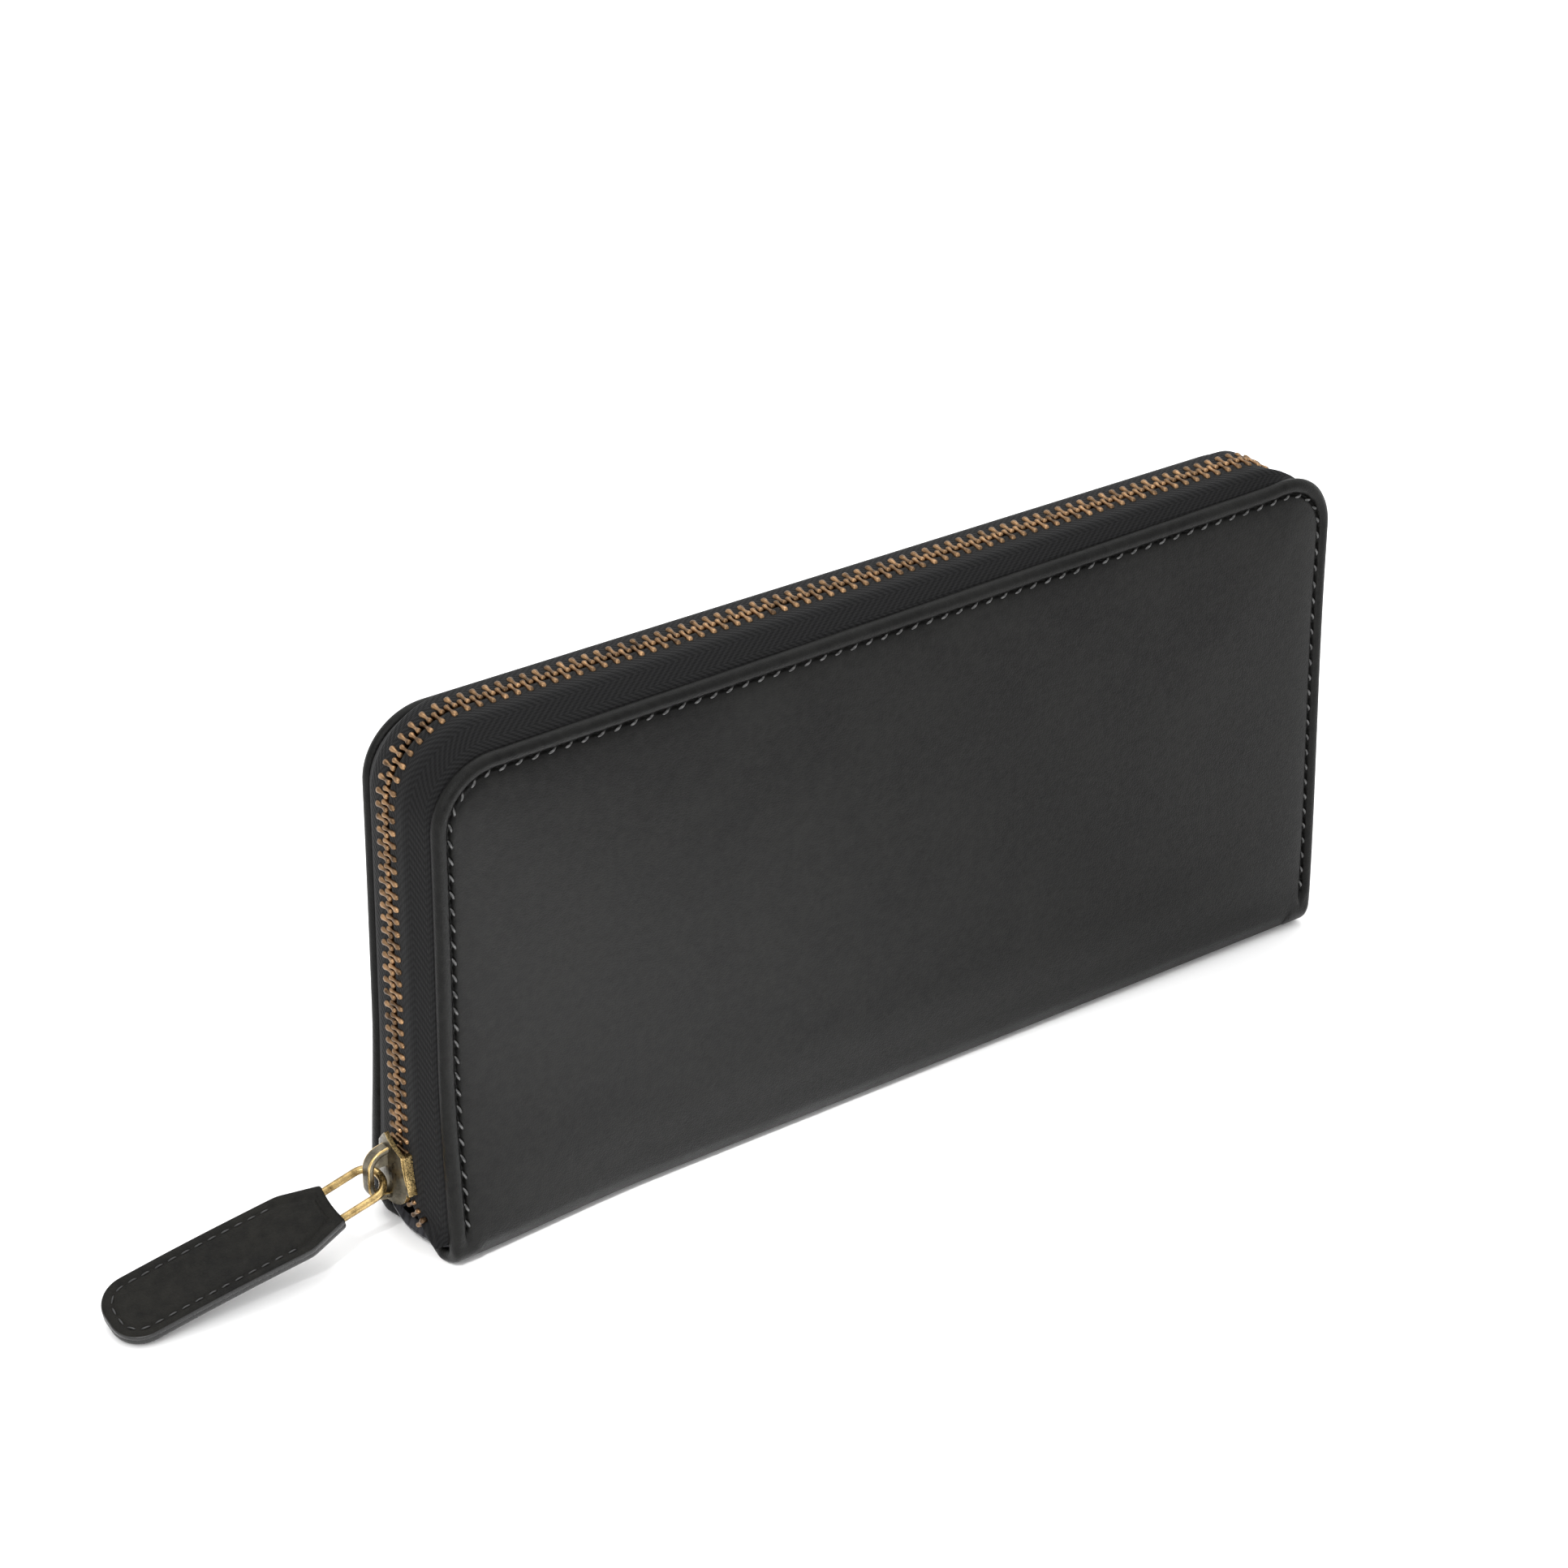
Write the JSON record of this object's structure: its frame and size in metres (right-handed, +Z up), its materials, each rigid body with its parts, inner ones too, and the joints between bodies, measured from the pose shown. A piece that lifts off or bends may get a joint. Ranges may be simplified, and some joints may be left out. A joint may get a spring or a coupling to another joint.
{
  "type": "long wallet",
  "caption": "Zip-around long wallet with two hinged covers, a metal zip with a leather pull, card slots, bill compartments and a zipped coin pocket.",
  "frame": {"origin": "middle of the flat underside of the spine, where the wallet stands", "axes": "+X along the spine from the slider end to the other end, +Y from the front cover to the back cover, +Z up to the zip"},
  "size_m": [0.2578, 0.0248, 0.1046],
  "materials": {
    "black_leather": "smooth satin leather",
    "edge_leather": "turned leather edge",
    "tab_leather": "waxed leather with painted edges",
    "panel_leather": "thin soft leather",
    "lining_fabric": "woven lining",
    "zip_tape_fabric": "herringbone zip tape",
    "thread": "waxed polyester thread",
    "foam": "thin padding",
    "board": "stiff fibre board",
    "antique_brass": "antique brass",
    "coin_zip_metal": "antique brass"
  },
  "bodies": {
    "spine": {"spine_leather": "black_leather", "spine_stiffener": "board", "spine_lining": "lining_fabric", "coin_pocket_front_wall": "lining_fabric", "coin_pocket_back_wall": "lining_fabric", "coin_zip_front_tape": "zip_tape_fabric", "coin_zip_back_tape": "zip_tape_fabric", "coin_zip_teeth": "coin_zip_metal", "coin_zip_end_stops": "coin_zip_metal", "left_front_gusset": "lining_fabric", "left_back_gusset": "lining_fabric", "right_front_gusset": "lining_fabric", "right_back_gusset": "lining_fabric"},
    "front_cover": {"front_outer_leather": "black_leather", "front_turned_edge": "edge_leather", "front_foam_padding": "foam", "front_stiffener_board": "board", "front_lining": "lining_fabric", "front_stitching": "thread", "front_zip_tape": "zip_tape_fabric", "front_zip_teeth": "antique_brass", "front_card_slot_1": "panel_leather", "front_card_slot_2": "panel_leather", "front_card_slot_3": "panel_leather", "front_card_slot_4": "panel_leather"},
    "back_cover": {"back_outer_leather": "black_leather", "back_turned_edge": "edge_leather", "back_foam_padding": "foam", "back_stiffener_board": "board", "back_lining": "lining_fabric", "back_stitching": "thread", "back_zip_tape": "zip_tape_fabric", "back_zip_teeth": "antique_brass", "back_card_slot_1": "panel_leather", "back_card_slot_2": "panel_leather", "back_card_slot_3": "panel_leather", "back_card_slot_4": "panel_leather", "zip_bottom_stop": "antique_brass"},
    "zip_slider": {"zip_slider_body": "antique_brass", "slider_bridge": "antique_brass"},
    "pull_link": {"pull_link": "antique_brass"},
    "pull_tab": {"pull_tab_upper_leather": "tab_leather", "pull_tab_lower_leather": "tab_leather", "pull_tab_stitching": "thread"},
    "coin_slider": {"coin_slider_body": "coin_zip_metal", "coin_slider_lug": "coin_zip_metal"},
    "coin_pull": {"coin_pull": "coin_zip_metal"}
  },
  "joints": [
    {"name": "front_cover_hinge", "type": "hinge", "parent": "spine", "child": "front_cover", "pos_m": [0, -0.01073, 0.006], "axis": [0.9999, 0.0149, 0], "range_deg": [0, 30], "deforming": ["left_front_gusset", "right_front_gusset", "front_zip_teeth"]},
    {"name": "back_cover_hinge", "type": "hinge", "parent": "spine", "child": "back_cover", "pos_m": [0, 0.01073, 0.006], "axis": [-0.9999, 0.0149, 0], "range_deg": [0, 30], "deforming": ["left_back_gusset", "right_back_gusset", "back_zip_teeth"]},
    {"name": "zip_slider_travel", "type": "slide", "parent": "back_cover", "child": "zip_slider", "axis": [0, 0, 1], "range_m": [0, 0.065]},
    {"name": "pull_link_swing", "type": "hinge", "parent": "zip_slider", "child": "pull_link", "pos_m": [-0.10635, 0, 0.0151], "axis": [0.0073, 0.9734, 0.2292], "range_deg": [-60, 90]},
    {"name": "pull_tab_swing", "type": "hinge", "parent": "pull_link", "child": "pull_tab", "pos_m": [-0.11664, 0.0009, 0.01161], "axis": [0.0073, 0.9734, 0.2292], "range_deg": [-60, 60]},
    {"name": "coin_slider_travel", "type": "slide", "parent": "spine", "child": "coin_slider", "axis": [-1, 0, 0], "range_m": [0, 0.156], "deforming": ["coin_zip_teeth"]},
    {"name": "coin_pull_swing", "type": "hinge", "parent": "coin_slider", "child": "coin_pull", "pos_m": [0.083, 0, 0.0857], "axis": [0, 1, 0], "range_deg": [0, 90]}
  ]
}
